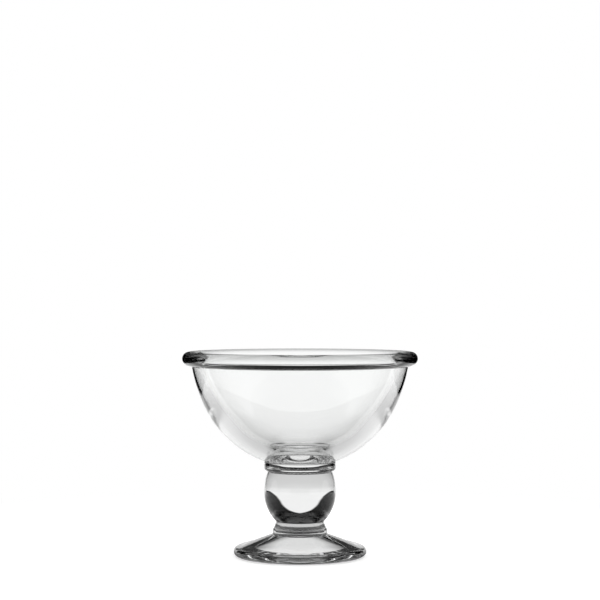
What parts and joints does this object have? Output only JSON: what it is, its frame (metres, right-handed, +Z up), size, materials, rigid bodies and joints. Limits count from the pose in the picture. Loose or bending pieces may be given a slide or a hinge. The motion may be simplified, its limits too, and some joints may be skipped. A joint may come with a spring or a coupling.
{
  "type": "footed dessert glass",
  "caption": "Low clear glass dessert coupe: round bowl with a rolled rim on a ball knop between collars, with a round hollow foot.",
  "frame": {"origin": "middle of the flat ring that the foot stands on, at table level", "axes": "+Z up along the glass's axis of revolution, from the foot to the rim; the glass is round, so X and Y are alike"},
  "size_m": [0.1178, 0.1178, 0.1022],
  "materials": {
    "clear_glass": "clear fire-polished soda-lime glass with a very faint green-grey tint"
  },
  "bodies": {
    "root": {"bowl": "clear_glass", "upper_collar": "clear_glass", "ball_knop": "clear_glass", "lower_collar": "clear_glass", "foot": "clear_glass"}
  },
  "joints": []
}
